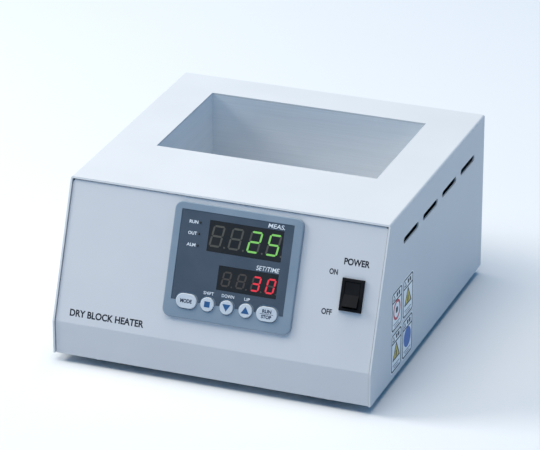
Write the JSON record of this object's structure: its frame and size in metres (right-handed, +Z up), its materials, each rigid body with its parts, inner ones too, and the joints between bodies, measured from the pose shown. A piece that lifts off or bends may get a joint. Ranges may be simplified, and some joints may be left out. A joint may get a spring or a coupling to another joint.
{
  "type": "dry block heater",
  "caption": "Bench dry block heater: folded sheet casing with a sloping control panel, key pad, rocker switch, vented sides and a rectangular heated well open at the top.",
  "frame": {"origin": "on the table, under the middle of the outer box", "axes": "+X to the user's right across the front, +Y to the rear, +Z up"},
  "size_m": [0.2202, 0.234, 0.118],
  "materials": {
    "white_enamel": "off-white baked enamel with a fine texture",
    "panel_enamel": "pale grey baked enamel",
    "floor_steel": "zinc-plated sheet",
    "screw_steel": "zinc-plated screws",
    "well_steel": "bright stainless sheet",
    "heater_aluminium": "machined aluminium",
    "mica": "pressed mica sheet",
    "mineral_wool": "dark mineral wool board",
    "foot_rubber": "black rubber",
    "mat_silicone": "grey silicone",
    "bezel_plastic": "blue-grey moulded plastic",
    "overlay_film": "dark slate printed film",
    "window_lens": "smoked acrylic",
    "led_module": "black LED module",
    "key_plastic": "pale grey-blue key caps",
    "circuit_board": "green laminate",
    "case_plastic": "black moulded plastic",
    "switch_plastic": "black nylon",
    "contact_brass": "tinned brass",
    "fuse_glass": "glass tube with metal caps",
    "lead_sleeve": "woven glass sleeve",
    "label_vinyl": "printed vinyl"
  },
  "bodies": {
    "casing": {"top_cover": "white_enamel", "front_panel": "panel_enamel", "rear_panel": "white_enamel", "base_plate": "floor_steel", "cover_screws": "screw_steel", "rear_panel_screws": "screw_steel", "foot_front_left": "foot_rubber", "foot_front_right": "foot_rubber", "foot_rear_left": "foot_rubber", "foot_rear_right": "foot_rubber", "foot_screws": "screw_steel", "well_liner": "well_steel", "heater_plate": "heater_aluminium", "plate_heater": "mica", "heater_clamp_plate": "floor_steel", "clamp_screws": "screw_steel", "plate_standoffs": "screw_steel", "standoff_screws": "screw_steel", "insulation_walls": "mineral_wool", "insulation_bottom": "mineral_wool", "insulation_tray": "floor_steel", "temperature_sensor": "well_steel", "thermal_cutout": "case_plastic", "cutout_screws": "screw_steel", "controller_bezel": "bezel_plastic", "controller_overlay": "overlay_film", "upper_window": "window_lens", "lower_window": "window_lens", "upper_digits": "led_module", "lower_digits": "led_module", "key_mat": "mat_silicone", "display_board": "circuit_board", "board_screws": "screw_steel", "controller_case": "case_plastic", "power_board": "circuit_board", "controller_terminal": "case_plastic", "controller_brackets": "floor_steel", "bracket_screws": "screw_steel", "switch_body": "switch_plastic", "switch_terminals": "contact_brass", "inlet_body": "case_plastic", "inlet_pins": "contact_brass", "inlet_screws": "screw_steel", "solid_state_relay": "case_plastic", "relay_screws": "screw_steel", "earth_stud": "contact_brass", "mains_leads": "lead_sleeve", "heater_leads": "lead_sleeve", "sensor_lead": "lead_sleeve", "safety_labels": "label_vinyl"},
    "power_rocker": {"switch_rocker": "switch_plastic", "switch_plunger": "screw_steel"},
    "contact_lever": {"switch_lever": "contact_brass"},
    "mode_key": {"key_mode": "key_plastic"},
    "shift_key": {"key_shift": "key_plastic"},
    "down_key": {"key_down": "key_plastic"},
    "up_key": {"key_up": "key_plastic"},
    "run_stop_key": {"key_run_stop": "key_plastic"},
    "fuse_carrier": {"fuse_drawer": "case_plastic", "fuse": "fuse_glass"}
  },
  "joints": [
    {"name": "power_rocker_tip", "type": "hinge", "parent": "casing", "child": "power_rocker", "pos_m": [0.0906, -0.09908, 0.07339], "axis": [1, 0, 0], "range_deg": [0, 24]},
    {"name": "contact_lever_tip", "type": "hinge", "parent": "casing", "child": "contact_lever", "pos_m": [0.0906, -0.08968, 0.06969], "axis": [1, 0, 0], "range_deg": [-14, 0]},
    {"name": "mode_key_press", "type": "slide", "parent": "casing", "child": "mode_key", "axis": [0, 0.9306, -0.366], "range_m": [0, 0.0008], "stiffness_N_per_m": 400},
    {"name": "shift_key_press", "type": "slide", "parent": "casing", "child": "shift_key", "axis": [0, 0.9306, -0.366], "range_m": [0, 0.0008], "stiffness_N_per_m": 400},
    {"name": "down_key_press", "type": "slide", "parent": "casing", "child": "down_key", "axis": [0, 0.9306, -0.366], "range_m": [0, 0.0008], "stiffness_N_per_m": 400},
    {"name": "up_key_press", "type": "slide", "parent": "casing", "child": "up_key", "axis": [0, 0.9306, -0.366], "range_m": [0, 0.0008], "stiffness_N_per_m": 400},
    {"name": "run_stop_key_press", "type": "slide", "parent": "casing", "child": "run_stop_key", "axis": [0, 0.9306, -0.366], "range_m": [0, 0.0008], "stiffness_N_per_m": 400},
    {"name": "fuse_drawer_pull", "type": "slide", "parent": "casing", "child": "fuse_carrier", "axis": [0, 1, 0], "range_m": [0, 0.017]}
  ],
  "couplings": [
    {"joint": "contact_lever_tip", "follows": "power_rocker_tip", "ratio": -0.58333}
  ]
}
